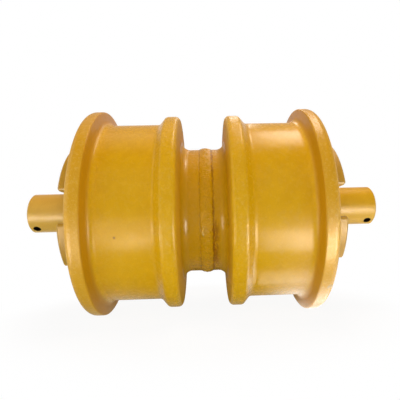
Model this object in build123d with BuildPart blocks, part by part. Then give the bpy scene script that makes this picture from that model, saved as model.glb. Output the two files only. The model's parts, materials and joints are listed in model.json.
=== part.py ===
from build123d import *
import math
import os

# Double flange track roller, built whole: a welded double shell that turns on a fixed shaft,
# with bushings, floating face seals and the two end collars that locate it in its frame.
# Millimetres. X runs along the shaft, Z is up, the origin is on the axis at mid length.
# Every profile is drawn with X along the shaft and Y as the radius, then revolved round X.

# Shell, outside
tread_radius = 95.0
tread_width = 55.9
tread_centre_x = 73.15
outer_flange_height = 14.5
outer_flange_width = 14.3
outer_flange_flare = 2.6
outer_flange_round = 7.0
outer_flange_edge_round = 1.8
inner_flange_height = 8.5
inner_flange_width = 13.4
inner_flange_flare = 7.3
inner_flange_round = 4.5
inner_face_draft = 2.2
tread_inner_round = 5.0
tread_outer_round = 7.0
neck_radius = 67.0
neck_corner_round = 8.5

# Weld between the two halves, a little off the middle
weld_centre_x = 2.4
weld_width = 12.8
weld_height = 1.3
weld_root = 1.0
weld_toe_width = 1.4
weld_toe_depth = 0.7

# Shaft
shaft_length = 376.0
shaft_end_radius = 21.0
land_step = 0.5
land_reach = 1.0
seat_step = 6.0
journal_step = 2.5
thrust_step = 7.0
thrust_width = 14.0
journal_to_seal = 13.0
shaft_chamfer = 1.5
oil_bore_radius = 4.0
oil_bore_end_x = 60.0
oil_feed_radius = 3.0
oil_feed_x = 45.0

# Blind dowel holes near the shaft's ends, turned down from the front
dowel_radius = 4.0
dowel_depth = 8.0
dowel_inset = 8.0
dowel_angle = 57.0
drill_tip_angle = 118.0

# Bushings, their snap rings and the oil chamber
running_gap = 0.06
seat_gap = 0.02
thrust_gap = 0.3
bushing_wall = 9.5
bushing_chamfer = 1.0
bushing_flange_height = 6.5
bushing_flange_thickness = 6.0
bushing_groove_width = 5.0
bushing_groove_depth = 1.5
snap_ring_thickness = 2.4
snap_ring_bite = 3.0
snap_ring_height = 6.8
snap_ring_gap = 16.0
chamber_depth = 12.5
chamber_half_length = 22.0
chamber_round = 5.0

# Floating face seals
seal_bore_gap = 3.5
seal_barrel_wall = 4.5
seal_barrel_length = 5.5
seal_flange_height = 5.0
seal_flange_thickness = 4.5
seal_chamfer = 0.8
seal_film = 0.02
toric_section = 9.0
toric_gap = 0.05
toric_end_room = 0.5

# End collars
recess_depth = 18.0
skirt_wall = 9.5
skirt_gap = 2.0
collar_gap = 2.0
collar_radius = 73.0
collar_thickness = 17.0
collar_chamfer = 1.5
collar_shoulder_depth = 5.0
channel_width = 30.0
channel_depth = 10.0
pad_corner_round = 3.0
collar_flat_height = 55.0
collar_pin_radius = 5.0
collar_pin_length = 35.0
collar_pin_depth = 12.0
o_ring_section = 2.4
o_ring_groove_width = 3.6

# Oil fill plug in the right end of the shaft
plug_radius = 6.9
plug_length = 12.0
plug_head_radius = 10.5
plug_head_thickness = 4.5
plug_head_room = 0.5
plug_thread_gap = 0.1
plug_hole_extra = 4.0
plug_socket_width = 8.0
plug_socket_depth = 5.0
plug_seal_thickness = 1.5

# Radii that follow from the sizes above
outer_flange_radius = tread_radius + outer_flange_height
inner_flange_radius = tread_radius + inner_flange_height
land_radius = shaft_end_radius + land_step
seat_radius = land_radius + seat_step
journal_radius = seat_radius + journal_step
thrust_radius = journal_radius + thrust_step
bushing_bore = journal_radius + running_gap
bushing_radius = bushing_bore + bushing_wall
bushing_flange_radius = bushing_radius + bushing_flange_height
chamber_radius = bushing_radius + chamber_depth
seal_bore = journal_radius + seal_bore_gap
seal_barrel_radius = seal_bore + seal_barrel_wall
seal_flange_radius = seal_barrel_radius + seal_flange_height
housing_radius = max(seal_barrel_radius + toric_section, bushing_flange_radius + seat_gap)
toric_centre_radius = (seal_barrel_radius + housing_radius) / 2
toric_radius = (housing_radius - seal_barrel_radius) / 2 - toric_gap
snap_groove_radius = housing_radius + snap_ring_bite
snap_ring_radius = snap_groove_radius - 2 * seat_gap
skirt_radius = housing_radius + skirt_wall
recess_radius = skirt_radius + skirt_gap

# Places along the axis, counted outward from mid length
tread_in_x = tread_centre_x - tread_width / 2
tread_out_x = tread_centre_x + tread_width / 2
inner_rim_out_x = tread_in_x - inner_flange_flare
inner_rim_in_x = inner_rim_out_x - inner_flange_width
inner_foot_x = inner_rim_in_x - inner_face_draft
outer_rim_in_x = tread_out_x + outer_flange_flare
shell_end_x = outer_rim_in_x + outer_flange_width
recess_floor_x = shell_end_x - recess_depth
skirt_tip_x = recess_floor_x + skirt_gap
seal_x = (recess_floor_x + skirt_tip_x) / 2
seal_depth = seal_flange_thickness + 2 * toric_radius + toric_end_room
snap_groove_out_x = seal_x - seal_depth - toric_end_room
snap_groove_in_x = snap_groove_out_x - snap_ring_thickness - 2 * seat_gap
bushing_step_x = snap_groove_in_x - bushing_flange_thickness
bushing_in_x = thrust_width / 2 + thrust_gap
journal_end_x = seal_x - journal_to_seal
housing_floor_x = seal_x + seal_depth
collar_shoulder_x = housing_floor_x + collar_shoulder_depth
collar_back_x = shell_end_x + collar_gap
collar_face_x = collar_back_x + collar_thickness
channel_floor_x = collar_face_x - channel_depth
collar_pin_x = (collar_shoulder_x + collar_face_x) / 2
land_end_x = collar_face_x + land_reach
shaft_end_x = shaft_length / 2
dowel_x = shaft_end_x - dowel_inset
o_ring_x = (housing_floor_x + collar_shoulder_x) / 2

os.makedirs("parts", exist_ok=True)

SIDES = (("left", -1), ("right", 1))


def save(builder, node):
    """Labels a finished piece and writes it as one STEP file."""
    builder.part.label = node
    export_step(builder.part, f"parts/{node}.step")


def mirrored(points):
    """The right half's points, led in by the same points on the left."""
    return [(-x, radius) for x, radius in reversed(points)] + points


def both_sides(sketch, *places):
    """The outline's corners nearest to the places given, on the right and on the left."""
    corners = []
    for x, radius in places:
        for sign in (1, -1):
            corners.append(sketch.vertices().sort_by_distance((sign * x, radius))[0])
    return corners


# The shell: two forged halves, machined inside and joined by one weld round the neck
shell_outside = [
    (inner_foot_x, neck_radius),
    (inner_rim_in_x, inner_flange_radius),
    (inner_rim_out_x, inner_flange_radius),
    (tread_in_x, tread_radius),
    (tread_out_x, tread_radius),
    (outer_rim_in_x, outer_flange_radius),
    (shell_end_x, outer_flange_radius),
]
shell_inside = [
    (chamber_half_length, chamber_radius),
    (chamber_half_length, bushing_radius + seat_gap),
    (bushing_step_x, bushing_radius + seat_gap),
    (bushing_step_x, bushing_flange_radius + seat_gap),
    (snap_groove_in_x, bushing_flange_radius + seat_gap),
    (snap_groove_in_x, snap_groove_radius),
    (snap_groove_out_x, snap_groove_radius),
    (snap_groove_out_x, housing_radius),
    (recess_floor_x, housing_radius),
    (recess_floor_x, recess_radius),
    (shell_end_x, recess_radius),
]
with BuildPart() as roller_shell:
    with BuildSketch(Plane.XY) as shell_section:
        with BuildLine():
            Polyline(*(mirrored(shell_outside) + mirrored(shell_inside)[::-1]), close=True)
        make_face()
        fillet(both_sides(shell_section, shell_outside[0]), radius=neck_corner_round)
        fillet(both_sides(shell_section, *shell_outside[1:3]), radius=inner_flange_round)
        fillet(both_sides(shell_section, shell_outside[3]), radius=tread_inner_round)
        fillet(both_sides(shell_section, shell_outside[4]), radius=tread_outer_round)
        fillet(both_sides(shell_section, shell_outside[5]), radius=outer_flange_edge_round)
        fillet(both_sides(shell_section, shell_outside[6]), radius=outer_flange_round)
        fillet(both_sides(shell_section, shell_inside[0]), radius=chamber_round)
        chamfer(both_sides(shell_section, shell_inside[-1]), length=collar_chamfer)
    revolve(axis=Axis.X)
    with BuildSketch(Plane.XY):
        with BuildLine():
            weld_left = (weld_centre_x - weld_width / 2, neck_radius)
            weld_right = (weld_centre_x + weld_width / 2, neck_radius)
            ThreePointArc(weld_left, (weld_centre_x, neck_radius + weld_height), weld_right)
            Polyline(
                weld_right,
                (weld_right[0], neck_radius - weld_root),
                (weld_left[0], neck_radius - weld_root),
                weld_left,
            )
        make_face()
    revolve(axis=Axis.X)
    # Undercut along both toes of the weld
    with BuildSketch(Plane.XY):
        with Locations(weld_left, weld_right):
            Ellipse(weld_toe_width / 2, weld_toe_depth)
    revolve(axis=Axis.X, mode=Mode.SUBTRACT)
save(roller_shell, "roller_shell")

# The shaft: thrust collar in the middle, two journals, collar seats and plain ends
shaft_half = [
    (thrust_width / 2, thrust_radius),
    (thrust_width / 2, journal_radius),
    (journal_end_x, journal_radius),
    (journal_end_x, seat_radius),
    (collar_shoulder_x, seat_radius),
    (collar_shoulder_x, land_radius),
    (land_end_x, land_radius),
    (land_end_x, shaft_end_radius),
    (shaft_end_x, shaft_end_radius),
    (shaft_end_x, 0),
]
drill_tip_length = dowel_radius / math.tan(math.radians(drill_tip_angle / 2))
plug_seat_x = shaft_end_x - plug_head_room - plug_head_thickness - plug_seal_thickness
plug_hole_x = plug_seat_x - plug_length - plug_hole_extra
o_ring_groove_radius = seat_radius + seat_gap - o_ring_section
with BuildPart() as shaft:
    with BuildSketch(Plane.XY) as shaft_section:
        with BuildLine():
            Polyline(*mirrored(shaft_half), close=True)
        make_face()
        chamfer(both_sides(shaft_section, shaft_half[-2]), length=shaft_chamfer)
    revolve(axis=Axis.X)
    for _, sign in SIDES:
        # Groove for the O-ring under the collar
        with BuildSketch(Plane.XY):
            with Locations((sign * o_ring_x, (seat_radius + o_ring_groove_radius) / 2)):
                Rectangle(o_ring_groove_width, seat_radius - o_ring_groove_radius)
        revolve(axis=Axis.X, mode=Mode.SUBTRACT)
        # Blind hole for the pin that locks the collar
        with Locations((sign * collar_pin_x, 0, land_radius - collar_pin_depth / 2)):
            Cylinder(collar_pin_radius, collar_pin_depth, mode=Mode.SUBTRACT)
        # Blind dowel hole with its drill tip
        dowel_way = Vector(
            0,
            -math.cos(math.radians(dowel_angle)),
            -math.sin(math.radians(dowel_angle)),
        )
        dowel_floor = Plane(
            origin=Vector(sign * dowel_x, 0, 0) + dowel_way * (shaft_end_radius - dowel_depth),
            x_dir=(1, 0, 0),
            z_dir=dowel_way,
        )
        with Locations(dowel_floor):
            Cylinder(
                dowel_radius,
                2 * dowel_depth,
                align=(Align.CENTER, Align.CENTER, Align.MIN),
                mode=Mode.SUBTRACT,
            )
            Cone(
                bottom_radius=0,
                top_radius=dowel_radius,
                height=drill_tip_length,
                align=(Align.CENTER, Align.CENTER, Align.MAX),
                mode=Mode.SUBTRACT,
            )
        # Feed hole right across the journal
        with Locations((sign * oil_feed_x, 0, 0)):
            Cylinder(oil_feed_radius, 2 * thrust_radius, mode=Mode.SUBTRACT)
    # Feed hole from the middle of the bore into the shell's chamber
    with Locations((0, 0, thrust_radius / 2)):
        Cylinder(oil_feed_radius, thrust_radius, mode=Mode.SUBTRACT)
    # Oil bore from the right end, opened out for the plug and its head
    with BuildSketch(Plane.XY):
        with BuildLine():
            Polyline(
                (-oil_bore_end_x, 0),
                (-oil_bore_end_x, oil_bore_radius),
                (plug_hole_x, oil_bore_radius),
                (plug_hole_x, plug_radius + plug_thread_gap),
                (plug_seat_x, plug_radius + plug_thread_gap),
                (plug_seat_x, plug_head_radius + plug_head_room),
                (shaft_end_x, plug_head_radius + plug_head_room),
                (shaft_end_x, 0),
                close=True,
            )
        make_face()
    revolve(axis=Axis.X, mode=Mode.SUBTRACT)
save(shaft, "shaft")

for side, sign in SIDES:
    # Flanged bushing, pressed into the shell, with an oil groove over the feed hole
    with BuildPart() as bushing:
        with BuildSketch(Plane.XY) as bushing_section:
            with BuildLine():
                Polyline(
                    (sign * bushing_in_x, bushing_bore),
                    (sign * bushing_in_x, bushing_radius),
                    (sign * bushing_step_x, bushing_radius),
                    (sign * bushing_step_x, bushing_flange_radius),
                    (sign * snap_groove_in_x, bushing_flange_radius),
                    (sign * snap_groove_in_x, bushing_bore),
                    close=True,
                )
            make_face()
            chamfer(
                bushing_section.vertices().sort_by_distance((sign * bushing_in_x, bushing_radius))[0],
                length=bushing_chamfer,
            )
            with Locations((sign * oil_feed_x, bushing_bore)):
                Rectangle(bushing_groove_width, 2 * bushing_groove_depth, mode=Mode.SUBTRACT)
        revolve(axis=Axis.X)
    save(bushing, f"bushing_{side}")

    # Snap ring that holds the bushing in, open at the top
    snap_plane = Plane.YZ.offset(sign * snap_groove_in_x + sign * seat_gap)
    with BuildPart() as snap_ring:
        with BuildSketch(snap_plane):
            Circle(snap_ring_radius)
            Circle(snap_ring_radius - snap_ring_height, mode=Mode.SUBTRACT)
            with Locations((0, snap_ring_radius)):
                Rectangle(snap_ring_gap, 2 * snap_ring_radius, mode=Mode.SUBTRACT)
        extrude(amount=sign * snap_ring_thickness)
    save(snap_ring, f"snap_ring_{side}")

    # Floating seal: two lapped metal rings face to face, each carried by a rubber toric ring
    for part_name, facing in (("rotor", -1), ("stator", 1)):
        face_x = seal_x + facing * seal_film / 2
        flange_back_x = seal_x + facing * seal_flange_thickness
        barrel_end_x = flange_back_x + facing * seal_barrel_length
        with BuildPart() as seal_ring:
            with BuildSketch(Plane.XY) as seal_section:
                with BuildLine():
                    Polyline(
                        (sign * face_x, seal_bore),
                        (sign * face_x, seal_flange_radius),
                        (sign * flange_back_x, seal_flange_radius),
                        (sign * flange_back_x, seal_barrel_radius),
                        (sign * barrel_end_x, seal_barrel_radius),
                        (sign * barrel_end_x, seal_bore),
                        close=True,
                    )
                make_face()
                seal_corners = seal_section.vertices()
                chamfer(
                    [
                        seal_corners.sort_by_distance((sign * flange_back_x, seal_flange_radius))[0],
                        seal_corners.sort_by_distance((sign * barrel_end_x, seal_barrel_radius))[0],
                    ],
                    length=seal_chamfer,
                )
            revolve(axis=Axis.X)
        save(seal_ring, f"seal_ring_{part_name}_{side}")

        toric_x = flange_back_x + facing * (toric_radius + toric_gap)
        with BuildPart() as toric:
            with BuildSketch(Plane.XY):
                with Locations((sign * toric_x, toric_centre_radius)):
                    Circle(toric_radius)
            revolve(axis=Axis.X)
        save(toric, f"toric_{part_name}_{side}")

    # End collar: skirt inside the shell's recess, disc with a flat foot outside it, and two pads
    with BuildPart() as end_collar:
        with BuildSketch(Plane.YZ.offset(sign * collar_back_x)) as disc:
            Circle(collar_radius)
            with Locations((0, -collar_flat_height)):
                Rectangle(
                    2 * collar_radius,
                    collar_radius,
                    align=(Align.CENTER, Align.MAX),
                    mode=Mode.SUBTRACT,
                )
            fillet(disc.vertices(), radius=pad_corner_round)
            Circle(land_radius + seat_gap, mode=Mode.SUBTRACT)
        extrude(amount=sign * (collar_thickness - channel_depth))
        disc_back = end_collar.faces().filter_by(Axis.X).group_by(Axis.X)[0 if sign > 0 else -1][0]
        chamfer(disc_back.outer_wire().edges(), length=collar_chamfer)
        with BuildSketch(Plane.XY):
            with BuildLine():
                Polyline(
                    (sign * skirt_tip_x, housing_radius),
                    (sign * skirt_tip_x, skirt_radius),
                    (sign * collar_back_x, skirt_radius),
                    (sign * collar_back_x, land_radius + seat_gap),
                    (sign * collar_shoulder_x, land_radius + seat_gap),
                    (sign * collar_shoulder_x, seat_radius + seat_gap),
                    (sign * housing_floor_x, seat_radius + seat_gap),
                    (sign * housing_floor_x, housing_radius),
                    close=True,
                )
            make_face()
        revolve(axis=Axis.X)
        # The pads stand above and below the channel across the outer face
        with BuildSketch(Plane.YZ.offset(sign * channel_floor_x)) as pads:
            Circle(collar_radius)
            with Locations((0, -collar_flat_height)):
                Rectangle(
                    2 * collar_radius,
                    collar_radius,
                    align=(Align.CENTER, Align.MAX),
                    mode=Mode.SUBTRACT,
                )
            Rectangle(3 * collar_radius, channel_width, mode=Mode.SUBTRACT)
            fillet(pads.vertices(), radius=pad_corner_round)
            Circle(land_radius + seat_gap, mode=Mode.SUBTRACT)
        extrude(amount=sign * channel_depth)
        pad_faces = end_collar.faces().filter_by(Axis.X).group_by(Axis.X)[-1 if sign > 0 else 0]
        chamfer(pad_faces.edges(), length=collar_chamfer)
        with Locations((sign * collar_pin_x, 0, collar_radius / 2)):
            Cylinder(collar_pin_radius, collar_radius, mode=Mode.SUBTRACT)
    save(end_collar, f"end_collar_{side}")

    # O-ring between collar and shaft
    with BuildPart() as collar_o_ring:
        with BuildSketch(Plane.XY):
            with Locations((sign * o_ring_x, o_ring_groove_radius + o_ring_section / 2)):
                Circle(o_ring_section / 2 - seat_gap)
        revolve(axis=Axis.X)
    save(collar_o_ring, f"collar_o_ring_{side}")

    # Pin driven down through the collar into the shaft
    with BuildPart() as collar_pin:
        with Locations((sign * collar_pin_x, 0, land_radius - collar_pin_depth)):
            Cylinder(
                collar_pin_radius - seat_gap,
                collar_pin_length,
                align=(Align.CENTER, Align.CENTER, Align.MIN),
            )
        chamfer(collar_pin.edges().filter_by(GeomType.CIRCLE), length=seal_chamfer)
    save(collar_pin, f"collar_pin_{side}")

# Oil fill plug with a hexagon socket, and the sealing washer under its head
plug_face_x = shaft_end_x - plug_head_room
with BuildPart() as fill_plug:
    with BuildSketch(Plane.XY):
        with BuildLine():
            Polyline(
                (plug_seat_x - plug_length, 0),
                (plug_seat_x - plug_length, plug_radius),
                (plug_seat_x + plug_seal_thickness, plug_radius),
                (plug_seat_x + plug_seal_thickness, plug_head_radius),
                (plug_face_x, plug_head_radius),
                (plug_face_x, 0),
                close=True,
            )
        make_face()
    revolve(axis=Axis.X)
    with BuildSketch(Plane.YZ.offset(plug_face_x)):
        RegularPolygon(plug_socket_width / 2, 6, major_radius=False)
    extrude(amount=-plug_socket_depth, mode=Mode.SUBTRACT)
save(fill_plug, "fill_plug")

with BuildPart() as plug_seal:
    with BuildSketch(Plane.YZ.offset(plug_seat_x)):
        Circle(plug_head_radius)
        Circle(plug_radius + plug_thread_gap, mode=Mode.SUBTRACT)
    extrude(amount=plug_seal_thickness)
save(plug_seal, "plug_seal")
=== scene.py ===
import json
import math
from types import SimpleNamespace

import bpy
from mathutils import Matrix, Vector, noise


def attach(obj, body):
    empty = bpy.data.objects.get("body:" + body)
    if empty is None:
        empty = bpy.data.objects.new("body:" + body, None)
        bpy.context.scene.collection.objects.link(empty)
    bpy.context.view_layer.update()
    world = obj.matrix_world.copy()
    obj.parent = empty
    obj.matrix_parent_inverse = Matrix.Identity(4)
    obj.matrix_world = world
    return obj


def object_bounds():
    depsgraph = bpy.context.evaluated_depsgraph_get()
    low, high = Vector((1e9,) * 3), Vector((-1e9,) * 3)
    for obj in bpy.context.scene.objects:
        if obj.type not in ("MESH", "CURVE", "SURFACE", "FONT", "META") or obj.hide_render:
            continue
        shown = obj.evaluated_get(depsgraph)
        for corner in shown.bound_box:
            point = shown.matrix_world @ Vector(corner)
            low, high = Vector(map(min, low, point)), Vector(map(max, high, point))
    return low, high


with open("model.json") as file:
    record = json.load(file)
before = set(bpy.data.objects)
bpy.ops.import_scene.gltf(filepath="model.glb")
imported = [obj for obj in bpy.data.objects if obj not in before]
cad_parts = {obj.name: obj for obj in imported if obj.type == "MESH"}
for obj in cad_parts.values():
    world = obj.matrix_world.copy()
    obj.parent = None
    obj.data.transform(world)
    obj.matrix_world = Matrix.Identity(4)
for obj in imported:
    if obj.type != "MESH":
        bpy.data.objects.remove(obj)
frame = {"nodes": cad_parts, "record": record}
cad_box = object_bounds()

# Double flange track roller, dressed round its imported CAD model. Metres, with X along the shaft.
# A pair of limits says where a look starts to come in or to fade, and where it has done so.

# Sizes that the CAD model was built with
NECK_RADIUS = 0.067
TREAD_RADIUS = 0.095
WELD_X = 0.0024
WELD_HALF_WIDTH = 0.0064
WELD_HEIGHT = 0.0013
LAND_END_X = 0.138
DOWEL_X = 0.180
DOWEL_ANGLE = math.radians(57)

# Limits of the roller's zones: RADII from the axis, SIDES from mid length
NECK_RADII = (0.0690, 0.0800)
CHEEK_RADII = (0.0735, 0.0770)
CHEEK_SIDES = (0.0240, 0.0255)
INNER_RIM_RADII = (0.1012, 0.1030)
INNER_RIM_SIDES = (0.0380, 0.0400)
FACE_RADII = (0.0952, 0.0985)
FACE_SIDES = (0.0940, 0.0970)
RIM_RADII = (0.1020, 0.1075)
RIM_SIDES = (0.1036, 0.1050)
END_FACE_SIDES = (0.1125, 0.1150)
BORE_RADII = (0.0652, 0.0655)
BORE_SIDES = (0.0990, 0.0996)
CORNER_SIDES = (0.0150, 0.0175)
WELD_SIDES = (0.0035, 0.0045)

# One crooked run of paint and metal on the front of the weld, angles in degrees above level
RUN_START_ANGLE = -18.0
RUN_END_ANGLE = -27.5
RUN_X = -0.0018
RUN_HALF_WIDTH = 0.0008
RUN_HEIGHT = 0.0010
RUN_BEND = 0.0006
RUN_BENDS = 8.0
RUN_TAPER = 0.15
# Reach of the painted highlight along the run's crest
RUN_HIGHLIGHT_REACH = (RUN_HALF_WIDTH * 0.3, RUN_HALF_WIDTH * 0.9)
RUN_GLOSS_ANGLE = -22
RUN_GLOSS_RADIUS = 0.0690
RUN_GLOSS_REACH = (0.0045, 0.0065)

# Dirt along each toe of the weld: half width and strength
TOE_LINES = {-1: (0.0011, 0.45), 1: (0.0015, 0.85)}
TOE_CORE_SHARE = 0.2
TOE_RAG = 0.0045

# Marks on the roller's front: X, angle in degrees above level, and reach
STREAKS_SPOT = (0.0105, -38)
STREAKS_REACH = (0.020, 0.034)
STREAKS_START_X = (0.0080, 0.0090)
STREAKS_END_X = (0.0110, 0.0155)
PIT_SPOT = (-0.0786, -18.4)
PIT_REACH = (0.0007, 0.0014)
SCUFF_SPOT = (0.1135, -46.6)
SCUFF_RADIUS = 0.1090
SCUFF_REACH = (0.0012, 0.0042)

# Thick glossy paint in the neck's corners: X, angle in degrees above level, and strength
WET_SPOTS = ((-0.021, -19, 1.0), (0.022, -15, 0.8), (-0.021, -38, 0.4), (-0.020, 38, 0.5))
WET_RADIUS = 0.0685
WET_REACH = (0.0065, 0.0100)

# Roughness that each zone has over the treads, and the coat on the rims
DULLNESS = {"rim": 0.1, "cheek": 0.35, "end_face": 0.35, "face": 0.15}
DRY_CORNER_DULLNESS = 0.22
NECK_SHINE = 0.05
RIM_COAT = 0.25

# Strength of the skin and the waves, on the treads and on the forged skin of the rims and neck
TREAD_SKIN = 0.16
FORGED_SKIN = 0.8
NECK_SKIN_SHARE = 0.75
TREAD_WAVE = 0.08
FORGED_WAVE = 0.35
NECK_WAVE = 0.4

# The shaft: painted ends, end faces, a painted reflection on the left end, painted shade in the cross
# holes
PAINTED_SIDES = (LAND_END_X - 0.0008, LAND_END_X - 0.0002)
SHAFT_END_SIDES = (0.1868, 0.1878)
REFLECTION_LIMITS_X = (-0.150, -0.140)
HOLE_HEART_RADIUS = 0.0165
HOLE_REACH = (0.0054, 0.0060)

# The camera, fitted to the flanges, the shell's outline and the shaft's ends in the photograph.
# It stands a little below the shaft's level, with the channels of the collars level.
IMAGE_PX = 400
FOCAL_PX = 370.06
PRINCIPAL_PX = (218.8, 184.0)
SENSOR_MM = 36
CAMERA_PLACE = (0.00237, -0.41824, -0.03292)
CAMERA_PITCH = math.radians(8.366)
CAMERA_YAW = math.radians(-1.9985)
CAMERA_ROLL = math.radians(1.4535)
YAW_AXIS_TILT = math.radians(4.5)
LEVEL_TURN = math.radians(90)

FLOOR_Z = cad_box[0][2]

# Colours of paint, painted shade, painted highlight, painted reflection, dirt and steel, linear
PAINT = (0.66, 0.358, 0.002)
PAINT_DEEP = (0.60, 0.307, 0.002)
PAINT_PALE = (0.72, 0.40, 0.006)
# Painted shade: the recessed neck between the inner flanges is darker
NECK_PAINTED_SHADE = (0.52, 0.270, 0.001)
# Painted highlight along the crest of the weld's run
RUN_PAINTED_HIGHLIGHT = (0.78, 0.55, 0.17)
PAINT_WORN = (0.72, 0.45, 0.10)
# Painted shade that darkens the collars all over, and its share
COLLAR_PAINTED_SHADE = (0.35, 0.185, 0.016)
COLLAR_SHADE_SHARE = 0.65
PAINT_RIM = (0.58, 0.265, 0.008)
# Painted shade on the flanges' faces between the treads and the rims
FACE_PAINTED_SHADE = (0.50, 0.222, 0.001)
# Painted reflection: a pale tint on the shaft's left end
LEFT_END_PAINTED_REFLECTION = (0.56, 0.36, 0.14)
STAIN = (0.30, 0.11, 0.001)
TOE_DIRT = (0.24, 0.09, 0.002)
# Painted shade inside the shaft's cross holes
HOLE_PAINTED_SHADE = (0.012, 0.006, 0.004)
SCUFF_GREY = (0.33, 0.28, 0.21)
BORE_STEEL = (0.42, 0.42, 0.43)
GROUND_STEEL = (0.5, 0.5, 0.51)
GROUND_STEEL_DARK = (0.4, 0.4, 0.41)

# Sockets of Blender's mix node that carry colours
MIX_COLOUR_A = 6
MIX_COLOUR_B = 7
MIX_COLOUR_RESULT = 2


class Shader:
    """Builds one procedural material, or the world, node by node."""

    def __init__(self, name="", world=None):
        self.material = world or bpy.data.materials.new(name)
        self.material.use_nodes = True
        self.nodes = self.material.node_tree.nodes
        self.links = self.material.node_tree.links
        self.surface = self.nodes.get("Principled BSDF")
        self.place = self.nodes.new("ShaderNodeTexCoord").outputs["Object"]

    def put(self, value, socket):
        """Sets a socket to a number or colour, or links another node's output to it."""
        if isinstance(value, bpy.types.NodeSocket):
            self.links.new(value, socket)
        elif isinstance(value, tuple) and len(value) < len(socket.default_value):
            socket.default_value = (*value, 1.0)
        else:
            socket.default_value = value

    def maths(self, operation, *values):
        node = self.nodes.new("ShaderNodeMath")
        node.operation = operation
        for value, socket in zip(values, node.inputs):
            self.put(value, socket)
        return node.outputs[0]

    def chain(self, operation, values):
        """One operation on the first two values, then on its result and each next value."""
        result, *others = values
        for value in others:
            result = self.maths(operation, result, value)
        return result

    def times(self, *values):
        return self.chain("MULTIPLY", values)

    def maximum(self, *values):
        return self.chain("MAXIMUM", values)

    def plus(self, *values):
        return self.chain("ADD", values)

    def minus(self, a, b):
        return self.maths("SUBTRACT", a, b)

    def absolute(self, value):
        return self.maths("ABSOLUTE", value)

    def band(self, value, low, high, low_out, high_out):
        """Turns value smoothly from low_out at low to high_out at high."""
        node = self.nodes.new("ShaderNodeMapRange")
        node.interpolation_type = "SMOOTHSTEP"
        for name, number in (
            ("Value", value),
            ("From Min", low),
            ("From Max", high),
            ("To Min", low_out),
            ("To Max", high_out),
        ):
            self.put(number, node.inputs[name])
        return node.outputs["Result"]

    def rise(self, value, limits, top=1.0):
        """0 below a pair of limits and top above them."""
        return self.band(value, *limits, 0.0, top)

    def fall(self, value, limits, top=1.0):
        """Top below a pair of limits and 0 above them."""
        return self.band(value, *limits, top, 0.0)

    def noise(self, scale, detail, roughness=0.5, place=None):
        node = self.nodes.new("ShaderNodeTexNoise")
        node.inputs["Scale"].default_value = scale
        node.inputs["Detail"].default_value = detail
        node.inputs["Roughness"].default_value = roughness
        self.links.new(place or self.place, node.inputs["Vector"])
        return node.outputs["Fac"]

    def patches(self, limits, least=0.0, most=1.0, **look):
        """Noise that turns smoothly from least to most between a pair of limits."""
        return self.band(self.noise(**look), *limits, least, most)

    def blend(self, share, a, b):
        """A number between a and b."""
        node = self.nodes.new("ShaderNodeMix")
        self.put(share, node.inputs["Factor"])
        self.put(a, node.inputs["A"])
        self.put(b, node.inputs["B"])
        return node.outputs["Result"]

    def mix(self, share, a, b):
        """A colour between a and b."""
        node = self.nodes.new("ShaderNodeMix")
        node.data_type = "RGBA"
        self.put(share, node.inputs["Factor"])
        self.put(a, node.inputs[MIX_COLOUR_A])
        self.put(b, node.inputs[MIX_COLOUR_B])
        return node.outputs[MIX_COLOUR_RESULT]

    def bump(self, height, distance, strength, below=None):
        node = self.nodes.new("ShaderNodeBump")
        self.put(height, node.inputs["Height"])
        node.inputs["Distance"].default_value = distance
        self.put(strength, node.inputs["Strength"])
        if below is not None:
            self.links.new(below, node.inputs["Normal"])
        return node.outputs["Normal"]

    def split(self, vector):
        """The X, Y and Z of a vector."""
        node = self.nodes.new("ShaderNodeSeparateXYZ")
        self.links.new(vector, node.inputs[0])
        return node.outputs

    def axes(self):
        """X, and the distance from the shaft's axis."""
        x, y, z = self.split(self.place)
        return x, self.maths("SQRT", self.plus(self.times(y, y), self.times(z, z)))

    def turn(self):
        """The angle round the shaft above the front's level, in radians."""
        _, y, z = self.split(self.place)
        return self.maths("ARCTAN2", z, self.times(y, -1.0))

    def round_place(self, x, turn, stretch):
        """X and the way round the neck, with features stretch times longer round it."""
        join = self.nodes.new("ShaderNodeCombineXYZ")
        self.put(x, join.inputs["X"])
        self.put(self.times(turn, NECK_RADIUS / stretch), join.inputs["Y"])
        return join.outputs["Vector"]

    def near(self, point, reach):
        """1 close to a point of the object, falling to 0 between the two distances of reach."""
        node = self.nodes.new("ShaderNodeVectorMath")
        node.operation = "DISTANCE"
        self.links.new(self.place, node.inputs[0])
        node.inputs[1].default_value = point
        return self.fall(node.outputs["Value"], reach)

    def rays(self):
        return self.nodes.new("ShaderNodeLightPath").outputs

    def finish(self, **values):
        """Sets the surface's sockets. An underscore stands for a space of a socket's name."""
        for name, value in values.items():
            self.put(value, self.surface.inputs[name.replace("_", " ")])
        return self.material


def on_roller(x, angle, radius):
    """A point of the roller's front, angle degrees above the level of the axis."""
    turn = math.radians(angle)
    return (x, -radius * math.cos(turn), radius * math.sin(turn))


def paint_colour(sh, speckle=0.75):
    """Paint tone with broad drifts, small clouds and fine speckle."""
    drift = sh.patches((0.4, 0.62), most=0.55, scale=14, detail=3, roughness=0.6)
    cloud = sh.patches((0.42, 0.60), most=0.6, scale=110, detail=5, roughness=0.7)
    grain = sh.patches((0.3, 0.7), most=speckle, scale=1000, detail=3, roughness=0.7)
    colour = sh.mix(drift, PAINT, PAINT_DEEP)
    colour = sh.mix(cloud, colour, PAINT_PALE)
    return sh.mix(grain, colour, PAINT_DEEP)


def paint_relief(sh, skin_strength, wave_strength=0.3):
    """Orange peel over the skin and the waves of the forging or casting."""
    waves = sh.bump(sh.noise(scale=150, detail=3), distance=0.0008, strength=wave_strength)
    grains = sh.noise(scale=330, detail=4, roughness=0.7)
    skin = sh.bump(grains, distance=0.0005, strength=skin_strength, below=waves)
    return sh.bump(sh.noise(scale=1100, detail=2), distance=0.0001, strength=0.12, below=skin)


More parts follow.
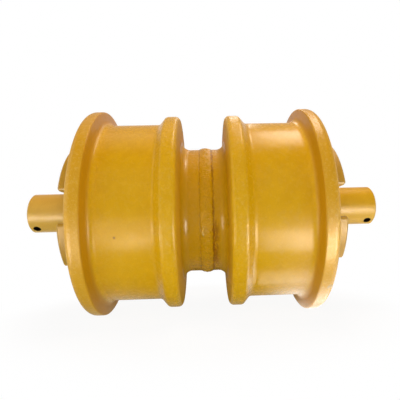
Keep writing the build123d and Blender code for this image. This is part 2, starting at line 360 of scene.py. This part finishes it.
def roller_zones(sh):
    """Masks of the roller's zones, with the coordinates that they come from."""
    x, radius = sh.axes()
    side = sh.absolute(x)
    neck = sh.fall(radius, NECK_RADII)
    return SimpleNamespace(
        x=x,
        side=side,
        turn=sh.turn(),
        neck=neck,
        corner=sh.times(sh.rise(side, CORNER_SIDES), neck),
        cheek=sh.times(sh.rise(radius, CHEEK_RADII), sh.fall(side, CHEEK_SIDES)),
        inner_rim=sh.times(sh.rise(radius, INNER_RIM_RADII), sh.fall(side, INNER_RIM_SIDES)),
        face=sh.times(sh.rise(radius, FACE_RADII), sh.fall(side, RIM_SIDES), sh.rise(side, FACE_SIDES)),
        rim=sh.times(sh.rise(radius, RIM_RADII), sh.rise(side, RIM_SIDES)),
        end_face=sh.rise(side, END_FACE_SIDES),
        bore=sh.times(sh.fall(radius, BORE_RADII), sh.fall(side, BORE_SIDES)),
    )


def worn_grains(sh, zone):
    """Worn grains of the skin on the rims of all four flanges."""
    grains = sh.patches((0.5, 0.68), most=0.45, scale=420, detail=4, roughness=0.7)
    return sh.times(sh.maximum(zone.rim, zone.inner_rim), grains)


def toe_dirt(sh, zone):
    """Ragged dirt along both toes of the weld, thin on the left and wider on the right."""
    ragged = sh.times(sh.minus(sh.noise(scale=260, detail=4, roughness=0.7), 0.5), TOE_RAG)
    patchy = sh.patches((0.35, 0.6), least=0.45, scale=130, detail=3, roughness=0.6)
    lines = []
    for toe, (width, strength) in TOE_LINES.items():
        offset = sh.minus(sh.plus(zone.x, ragged), WELD_X + toe * WELD_HALF_WIDTH)
        line = sh.fall(sh.absolute(offset), (width * TOE_CORE_SHARE, width), strength)
        lines.append(sh.times(line, patchy, zone.neck))
    return lines


def low_streaks(sh, zone):
    """Brown streaks low beside the weld's right toe, drawn out round the neck."""
    place = sh.round_place(zone.x, zone.turn, stretch=5)
    streak = sh.patches((0.38, 0.52), scale=700, detail=3, roughness=0.6, place=place)
    beside = sh.times(sh.rise(zone.x, STREAKS_START_X), sh.fall(zone.x, STREAKS_END_X))
    spread = sh.near(on_roller(*STREAKS_SPOT, NECK_RADIUS), STREAKS_REACH)
    return sh.times(beside, spread, streak)


def run_painted_highlight(sh, zone):
    """Painted highlight along the crest of the crooked run on the weld."""
    start, end = math.radians(RUN_START_ANGLE), math.radians(RUN_END_ANGLE)
    along = sh.maths("DIVIDE", sh.minus(zone.turn, start), end - start)
    bend = sh.times(sh.maths("SINE", sh.times(along, RUN_BENDS)), RUN_BEND)
    off = sh.absolute(sh.minus(sh.minus(zone.x, RUN_X), bend))
    crest = sh.fall(off, RUN_HIGHLIGHT_REACH, top=0.7)
    first = sh.rise(along, (0.0, RUN_TAPER))
    last = sh.fall(along, (1.0 - RUN_TAPER, 1.0))
    return sh.times(crest, first, last, zone.neck)


def rim_scuff(sh):
    """A patchy scuff on the right rim."""
    spot = sh.near(on_roller(*SCUFF_SPOT, SCUFF_RADIUS), SCUFF_REACH)
    return sh.times(spot, sh.patches((0.42, 0.6), scale=500, detail=3, roughness=0.6))


def roller_colour(sh, zone, pit):
    """Paint in its tones with painted shade on the neck and the flanges' faces, then dirt, marks with a
    painted highlight on the run's crest, and the bare steel inside the shell, in that order.
    """
    left_dirt, right_dirt = toe_dirt(sh, zone)
    colour = paint_colour(sh)
    for mask, share, tone in (
        # Painted shade over the recessed neck between the inner flanges
        (zone.neck, 0.75, NECK_PAINTED_SHADE),
        (zone.rim, 0.5, PAINT_RIM),
        (worn_grains(sh, zone), 1.0, PAINT_WORN),
        # Painted shade on the flanges' faces
        (zone.face, 0.9, FACE_PAINTED_SHADE),
        (left_dirt, 1.0, TOE_DIRT),
        (right_dirt, 1.0, TOE_DIRT),
        (low_streaks(sh, zone), 0.85, STAIN),
        # Painted highlight along the run's crest
        (run_painted_highlight(sh, zone), 1.0, RUN_PAINTED_HIGHLIGHT),
        (pit, 1.0, TOE_DIRT),
        (rim_scuff(sh), 1.0, SCUFF_GREY),
        (zone.bore, 1.0, BORE_STEEL),
    ):
        colour = sh.mix(sh.times(mask, share), colour, tone)
    return colour


def roller_gloss(sh, zone):
    """The roughness, and the weight of the wet coat where paint ran together or is thick."""
    wet_spots = sh.maximum(
        *(
            sh.times(sh.near(on_roller(x, angle, WET_RADIUS), WET_REACH), strength)
            for x, angle, strength in WET_SPOTS
        )
    )
    run = sh.near(on_roller(RUN_X, RUN_GLOSS_ANGLE, RUN_GLOSS_RADIUS), RUN_GLOSS_REACH)
    coat = sh.maximum(
        sh.times(wet_spots, zone.corner),
        sh.times(run, sh.fall(zone.side, WELD_SIDES)),
        sh.times(zone.rim, RIM_COAT),
    )
    dull = sh.maximum(*(sh.times(getattr(zone, name), amount) for name, amount in DULLNESS.items()))
    dull = sh.minus(dull, sh.times(zone.neck, NECK_SHINE))
    dry_corner = sh.times(zone.corner, sh.minus(1.0, wet_spots))
    dull = sh.maximum(dull, sh.times(dry_corner, DRY_CORNER_DULLNESS))
    smooth = sh.patches((0.3, 0.7), least=0.21, most=0.30, scale=260, detail=3)
    return sh.plus(smooth, dull), coat


def roller_relief(sh, zone, pit):
    """Rims and neck keep the forging's skin, and the treads are turned smooth."""
    rims = sh.maximum(zone.rim, zone.inner_rim)
    forged = sh.maximum(rims, sh.times(zone.neck, NECK_SKIN_SHARE))
    skin = sh.band(forged, 0.0, 1.0, TREAD_SKIN, FORGED_SKIN)
    wave = sh.band(rims, 0.0, 1.0, TREAD_WAVE, FORGED_WAVE)
    wave = sh.maximum(wave, sh.times(zone.neck, NECK_WAVE))
    return sh.bump(pit, distance=0.0006, strength=-0.8, below=paint_relief(sh, skin, wave))


def roller_paint():
    sh = Shader("roller_paint")
    zone = roller_zones(sh)
    pit = sh.near(on_roller(*PIT_SPOT, TREAD_RADIUS), PIT_REACH)
    roughness, coat = roller_gloss(sh, zone)
    return sh.finish(
        Base_Color=roller_colour(sh, zone, pit),
        Metallic=zone.bore,
        Roughness=roughness,
        Coat_Weight=coat,
        Coat_Roughness=0.26,
        Normal=roller_relief(sh, zone, pit),
        Specular_IOR_Level=0.25,
    )


def collar_paint():
    sh = Shader("collar_paint")
    return sh.finish(
        # Painted shade darkens the collars all over
        Base_Color=sh.mix(COLLAR_SHADE_SHARE, paint_colour(sh, speckle=0.6), COLLAR_PAINTED_SHADE),
        Roughness=sh.patches((0.3, 0.7), least=0.38, most=0.5, scale=220, detail=3),
        Normal=paint_relief(sh, skin_strength=0.6),
        Specular_IOR_Level=0.45,
    )


def shaft_paint():
    """Paint on the ends that stick out. Between the collars the shaft is ground steel."""
    sh = Shader("shaft_paint")
    x, radius = sh.axes()
    side = sh.absolute(x)
    painted = sh.rise(side, PAINTED_SIDES)
    steel = sh.mix(sh.noise(scale=500, detail=2), GROUND_STEEL, GROUND_STEEL_DARK)
    # A pale painted reflection on the shaft's left end
    reflecting = sh.mix(sh.fall(x, REFLECTION_LIMITS_X, top=0.35), paint_colour(sh), LEFT_END_PAINTED_REFLECTION)
    colour = sh.mix(painted, steel, reflecting)
    # The cross holes are unpainted, and their insides get near-black painted shade
    for end in (-1, 1):
        heart = (
            end * DOWEL_X,
            -HOLE_HEART_RADIUS * math.cos(DOWEL_ANGLE),
            -HOLE_HEART_RADIUS * math.sin(DOWEL_ANGLE),
        )
        colour = sh.mix(sh.near(heart, HOLE_REACH), colour, HOLE_PAINTED_SHADE)
    gloss = sh.patches((0.3, 0.7), least=0.3, most=0.42, scale=220, detail=3)
    return sh.finish(
        Base_Color=colour,
        Metallic=sh.minus(1.0, painted),
        Roughness=sh.plus(gloss, sh.rise(side, SHAFT_END_SIDES, top=0.3)),
        Normal=paint_relief(sh, skin_strength=0.2),
        Specular_IOR_Level=0.4,
    )


def plain_finish(name, colour, dark, smoothest, roughest, metallic):
    """Metal or rubber with darker clouds and uneven gloss."""
    sh = Shader(name)
    cloud = sh.patches((0.3, 0.7), scale=160, detail=4, roughness=0.6)
    return sh.finish(
        Base_Color=sh.mix(cloud, colour, dark),
        Metallic=metallic,
        Roughness=sh.patches((0.3, 0.7), least=smoothest, most=roughest, scale=400, detail=3),
        Normal=sh.bump(sh.noise(scale=900, detail=3), distance=0.0001, strength=0.3),
    )


# Inner pieces: colour, colour of the darker clouds, least and most roughness, metallic
PLAIN_FINISHES = {
    "bushing_bronze": ((0.55, 0.33, 0.12), (0.42, 0.24, 0.08), 0.25, 0.4, 1.0),
    "spring_steel": ((0.2, 0.2, 0.21), (0.12, 0.12, 0.13), 0.35, 0.5, 1.0),
    "seal_iron": ((0.32, 0.32, 0.32), (0.24, 0.24, 0.24), 0.15, 0.3, 1.0),
    "seal_rubber": ((0.03, 0.03, 0.03), (0.02, 0.02, 0.02), 0.6, 0.75, 0.0),
    "plug_steel": ((0.5, 0.5, 0.5), (0.38, 0.38, 0.38), 0.28, 0.42, 1.0),
}
FINISHES = {"roller_paint": roller_paint(), "collar_paint": collar_paint(), "shaft_paint": shaft_paint()}
for slot_name, look in PLAIN_FINISHES.items():
    FINISHES[slot_name] = plain_finish(slot_name, *look)

# Each CAD node takes the finish of its slot in the record
for row in frame["record"]["subparts"]:
    node = frame["nodes"][row["node"]]
    node.data.materials.clear()
    node.data.materials.append(FINISHES[row["material_slot"]])


def add_object(name, data):
    obj = bpy.data.objects.new(name, data)
    bpy.context.scene.collection.objects.link(obj)
    return obj


def add_mesh(name, points, faces, material):
    mesh = bpy.data.meshes.new(name)
    mesh.from_pydata(points, [], faces)
    mesh.materials.append(material)
    return add_object(name, mesh)


# The weld as laid: ripples, lumps and wandering edges over the CAD model's plain bead, and
# shallow uneven undercuts along its toes
BEAD_STEPS_ROUND = 1000
BEAD_STEPS_ACROSS = 44
BEAD_REACH = 1.3
BEAD_SINK = 0.0011
SKIN_GAP = 0.00006
RIPPLE_PITCH = 0.0023
RIPPLE_HEIGHT = 0.00015
RIPPLE_BOW = 0.0022
LUMP_HEIGHT = 0.0006
EDGE_WANDER = 0.0008
EDGE_WAVES = 14
EDGES_APART = 5
TOE_DEPTH = {-1: 0.00007, 1: 0.00016}
TOE_HALF_WIDTH = {-1: 0.0005, 1: 0.0007}
TOE_DEPTH_MEAN = 0.7
TOE_DEPTH_SWING = 0.9
TOE_DEPTH_LEAST = 0.2
FLOW_ACROSS = 140
FLOW_ROUND = 9
LUMP_FINENESS = 1.6
TOE_FINENESS = 2.5


def rough_noise(place, octaves):
    """Noise of several octaves, each finer by the same step."""
    smoothness = 0.9
    step = 2.2
    return noise.fractal(place, smoothness, step, octaves)


def bead_height(across, x, turn):
    """Height of the weld over the neck. Across runs from -1 at one toe to 1 at the other."""
    flow = Vector((x * FLOW_ACROSS, math.cos(turn) * FLOW_ROUND, math.sin(turn) * FLOW_ROUND))
    lump = rough_noise(flow * LUMP_FINENESS, octaves=4)
    crown = max(0.0, 1 - across * across)
    arc = turn * NECK_RADIUS + RIPPLE_BOW * across * across
    ripple = math.sin(2 * math.pi * arc / RIPPLE_PITCH)
    height = WELD_HEIGHT * crown + RIPPLE_HEIGHT * ripple * crown + LUMP_HEIGHT * lump * crown
    for toe, depth in TOE_DEPTH.items():
        swing = rough_noise(flow * TOE_FINENESS + Vector((toe, 0, 0)), octaves=3)
        uneven = TOE_DEPTH_MEAN + TOE_DEPTH_SWING * swing
        off = (across - toe) * WELD_HALF_WIDTH / TOE_HALF_WIDTH[toe]
        height -= depth * max(TOE_DEPTH_LEAST, uneven) * math.exp(-off * off)
    # The crooked run of paint and metal on the front
    along = (math.degrees(turn) - RUN_START_ANGLE) / (RUN_END_ANGLE - RUN_START_ANGLE)
    if 0 < along < 1:
        bend = RUN_BEND * math.sin(along * RUN_BENDS)
        off = (x - RUN_X - bend) / RUN_HALF_WIDTH
        height += RUN_HEIGHT * math.sqrt(math.sin(math.pi * along)) * math.exp(-off * off)
    return height


def build_weld_bead():
    points = []
    for i in range(BEAD_STEPS_ROUND):
        turn = 2 * math.pi * i / BEAD_STEPS_ROUND
        way = Vector((0, -math.cos(turn), math.sin(turn)))
        signed_turn = turn if turn < math.pi else turn - 2 * math.pi
        for j in range(BEAD_STEPS_ACROSS + 1):
            across = (2 * j / BEAD_STEPS_ACROSS - 1) * BEAD_REACH
            edge = Vector((math.copysign(EDGES_APART, across), way.y * EDGE_WAVES, way.z * EDGE_WAVES))
            shift = EDGE_WANDER * noise.noise(edge) * min(1, abs(across))
            x = WELD_X + across * WELD_HALF_WIDTH + math.copysign(shift, across)
            radius = NECK_RADIUS + SKIN_GAP + bead_height(across, x, signed_turn)
            points.append(Vector((x, 0, 0)) + way * radius)
        # Two points under the neck's skin close the section
        for x in (points[-1].x, points[-1 - BEAD_STEPS_ACROSS].x):
            points.append(Vector((x, 0, 0)) + way * (NECK_RADIUS - BEAD_SINK))
    ring = BEAD_STEPS_ACROSS + 3
    faces = []
    for i in range(BEAD_STEPS_ROUND):
        after = (i + 1) % BEAD_STEPS_ROUND
        for j in range(ring):
            k = (j + 1) % ring
            faces.append((i * ring + j, after * ring + j, after * ring + k, i * ring + k))
    bead = add_mesh("weld_bead", points, faces, FINISHES["roller_paint"])
    bead.data.polygons.foreach_set("use_smooth", [True] * len(faces))
    bead.data.update()
    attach(bead, "roller")


build_weld_bead()

WARM = (1.0, 0.82, 0.64)
MILD = (1.0, 0.91, 0.8)
PLAIN = (1.0, 1.0, 1.0)

# Lamps over the roller: name, place, target, size, power, colour, and what each shows in
LAMPS = (
    ("key_top", (0.12, 0.0, 0.9), (0.02, 0, 0), (0.6, 0.35), 6, WARM, "diffuse"),
    ("front_fill", (-0.1, -1.6, 0.9), (0, 0, -0.02), (1.8, 1.4), 12.2, MILD, "diffuse"),
    ("side_left", (-1.5, -0.5, 0.4), (0, 0, 0), (1.0, 0.8), 5.5, PLAIN, "diffuse"),
    ("side_right", (1.5, -0.5, 0.4), (0, 0, 0), (1.0, 0.8), 3, PLAIN, "diffuse"),
    ("sky_right", (0.27, 0.03, 0.75), (0.05, 0, 0), (0.36, 0.2), 1.9, MILD, "gloss"),
    ("sky_back", (0.09, 0.43, 0.6), (0.03, -0.05, 0.09), (0.1, 0.2), 0.25, MILD, "gloss"),
    ("sky_left", (-0.22, 0.02, 0.8), (-0.05, 0, 0), (0.45, 0.25), 0.3, MILD, "gloss"),
)

# Lamps that lie on the floor, face up and show in the gloss alone: name, X, Y, size and power
FLOOR_LAMP_Z = -0.108
FLOOR_LAMPS = (
    ("band_left", -0.14, -0.31, (0.17, 0.3), 0.41),
    ("edge_left", -0.26, -0.2, (0.2, 0.14), 1.1),
    ("glint_left", -0.085, -0.18, (0.05, 0.08), 0.06),
    ("glint_right", 0.09, -0.17, (0.05, 0.10), 0.09),
    ("band_right", 0.175, -0.17, (0.15, 0.09), 0.55),
    ("band_low", 0.095, -0.055, (0.08, 0.03), 0.02),
    ("edge_right", 0.24, -0.185, (0.14, 0.11), 0.65),
    ("band_far", 0.24, -0.3, (0.22, 0.16), 0.28),
)


def build_lamp(name, place, target, size, power, colour, kind):
    lamp = bpy.data.lights.new(name, "AREA")
    lamp.shape = "RECTANGLE"
    lamp.size, lamp.size_y = size
    lamp.energy = power
    lamp.color = colour
    obj = add_object(name, lamp)
    obj.location = place
    obj.rotation_euler = (Vector(target) - Vector(place)).to_track_quat("-Z", "Y").to_euler()
    obj.visible_camera = False
    obj.visible_diffuse = kind == "diffuse"
    obj.visible_glossy = kind == "gloss"


for lamp_row in LAMPS:
    build_lamp(*lamp_row)
for lamp_name, lamp_x, lamp_y, lamp_size, lamp_power in FLOOR_LAMPS:
    lamp_place = (lamp_x, lamp_y, FLOOR_LAMP_Z)
    build_lamp(lamp_name, lamp_place, (lamp_x, lamp_y, 0), lamp_size, lamp_power, PLAIN, "gloss")

# Floor: white paper that also glows. The camera sees it white beyond the roller's shadow. The
# gloss sees it dim near the roller and in front, and bright in a pool on the right.
FLOOR_HALF = 4.0
FLOOR_WHITE = (0.82, 0.82, 0.82)
FLOOR_WHITE_DARK = (0.80, 0.80, 0.80)
FLOOR_BOUNCE = 0.56
FLOOR_BOUNCE_COLOUR = (0.74, 1.0, 0.38)
FLOOR_GLOW_NEAR = 0.93
SHADOW_HEART = (0, 0.02, FLOOR_Z)
SHADOW_REACH = (0.13, 0.26)
GLOSS_NEAR = 0.28
GLOSS_NEAR_REACH = (0.07, 0.13)
GLOSS_FRONT_FLOOR = 0.5
GLOSS_FRONT_LIMITS_Y = (-0.1, 0.1)
GLOSS_LANE = 0.08
GLOSS_LANE_REACH = (0.05, 0.09)
GLOSS_UNDER = 0.3
GLOSS_UNDER_REACH = (0.01, 0.055)
GLOSS_POOL = 2.0
GLOSS_POOL_HEART = (0.18, -0.05, FLOOR_Z)
GLOSS_POOL_REACH = (0.08, 0.13)


def floor_in_gloss(sh):
    """How bright the floor shows in the roller's gloss."""
    x, y, _ = sh.split(sh.place)
    away = sh.absolute(y)
    beyond = sh.band(y, *GLOSS_FRONT_LIMITS_Y, GLOSS_FRONT_FLOOR, 1.0)
    level = sh.blend(sh.rise(away, GLOSS_NEAR_REACH), GLOSS_NEAR, beyond)
    level = sh.times(level, sh.band(sh.absolute(x), *GLOSS_LANE_REACH, GLOSS_LANE, 1.0))
    under = sh.fall(away, GLOSS_UNDER_REACH, top=GLOSS_UNDER)
    pool = sh.times(sh.near(GLOSS_POOL_HEART, GLOSS_POOL_REACH), GLOSS_POOL)
    return sh.plus(level, under, pool)


def floor_white():
    sh = Shader("floor_white")
    sh.nodes.remove(sh.surface)
    rays = sh.rays()
    paper = sh.nodes.new("ShaderNodeBsdfDiffuse")
    sh.put(sh.mix(sh.noise(scale=30, detail=3), FLOOR_WHITE, FLOOR_WHITE_DARK), paper.inputs["Color"])
    bounce = sh.nodes.new("ShaderNodeEmission")
    sh.put(FLOOR_BOUNCE_COLOUR, bounce.inputs["Color"])
    sh.put(sh.times(rays["Is Diffuse Ray"], FLOOR_BOUNCE), bounce.inputs["Strength"])
    lit = sh.nodes.new("ShaderNodeAddShader")
    sh.links.new(paper.outputs[0], lit.inputs[0])
    sh.links.new(bounce.outputs[0], lit.inputs[1])
    glow = sh.nodes.new("ShaderNodeEmission")
    sh.put(sh.blend(rays["Is Camera Ray"], floor_in_gloss(sh), 1.0), glow.inputs["Strength"])
    clear = sh.band(sh.near(SHADOW_HEART, SHADOW_REACH), 0.0, 1.0, 1.0, FLOOR_GLOW_NEAR)
    seen = sh.times(clear, rays["Is Camera Ray"])
    surface = sh.nodes.new("ShaderNodeMixShader")
    share = sh.maximum(seen, rays["Is Glossy Ray"], rays["Is Transmission Ray"])
    sh.links.new(share, surface.inputs[0])
    sh.links.new(lit.outputs[0], surface.inputs[1])
    sh.links.new(glow.outputs[0], surface.inputs[2])
    sh.links.new(surface.outputs[0], sh.nodes["Material Output"].inputs["Surface"])
    return sh.material


def build_floor():
    corners = [
        (x * FLOOR_HALF, y * FLOOR_HALF, FLOOR_Z) for x, y in ((-1, -1), (1, -1), (1, 1), (-1, 1))
    ]
    floor = add_mesh("floor", corners, [(0, 1, 2, 3)], floor_white())


build_floor()

# World: white to the camera. To the gloss it is bright on the left and low behind the roller.
# Elsewhere it is a dim room.
ROOM_DIFFUSE = 0.15
ROOM_HORIZON = 0.35
ROOM_FRONT = 0.15
ROOM_FRONT_LIMITS_Z = (0.0, 0.35)
ROOM_LEFT = 1.3
ROOM_LEFT_LIMITS_X = (-0.75, -0.45)
ROOM_TOP = 0.4
ROOM_TOP_LIMITS_Z = (0.35, 0.6)
ROOM_BACK_LIMITS_Y = (0.0, 0.35)


def build_world():
    world = bpy.data.worlds.new("studio")
    bpy.context.scene.world = world
    sh = Shader(world=world)
    x, y, z = sh.split(sh.nodes.new("ShaderNodeTexCoord").outputs["Generated"])
    rays = sh.rays()
    front = sh.maximum(
        sh.band(z, *ROOM_FRONT_LIMITS_Z, ROOM_HORIZON, ROOM_FRONT),
        sh.fall(x, ROOM_LEFT_LIMITS_X, top=ROOM_LEFT),
    )
    behind = sh.band(z, *ROOM_TOP_LIMITS_Z, 1.0, ROOM_TOP)
    mirrored = sh.blend(sh.rise(y, ROOM_BACK_LIMITS_Y), front, behind)
    level = sh.blend(rays["Is Glossy Ray"], ROOM_DIFFUSE, mirrored)
    white = sh.maximum(rays["Is Camera Ray"], rays["Is Transmission Ray"])
    room = sh.nodes["Background"]
    sh.put(PLAIN, room.inputs["Color"])
    sh.put(sh.blend(white, level, 1.0), room.inputs["Strength"])


build_world()


def build_camera():
    lens = bpy.data.cameras.new("camera")
    lens.sensor_fit = "HORIZONTAL"
    lens.sensor_width = SENSOR_MM
    lens.lens = SENSOR_MM * FOCAL_PX / IMAGE_PX
    lens.shift_x = (IMAGE_PX / 2 - PRINCIPAL_PX[0]) / IMAGE_PX
    lens.shift_y = (PRINCIPAL_PX[1] - IMAGE_PX / 2) / IMAGE_PX
    camera = add_object("camera", lens)
    camera.matrix_world = (
        Matrix.Translation(CAMERA_PLACE)
        @ Matrix.Rotation(YAW_AXIS_TILT, 4, "X")
        @ Matrix.Rotation(CAMERA_YAW, 4, "Z")
        @ Matrix.Rotation(CAMERA_PITCH - YAW_AXIS_TILT, 4, "X")
        @ Matrix.Rotation(CAMERA_ROLL, 4, "Y")
        @ Matrix.Rotation(LEVEL_TURN, 4, "X")
    )
    bpy.context.scene.camera = camera


build_camera()
bpy.context.scene.view_settings.view_transform = "Standard"
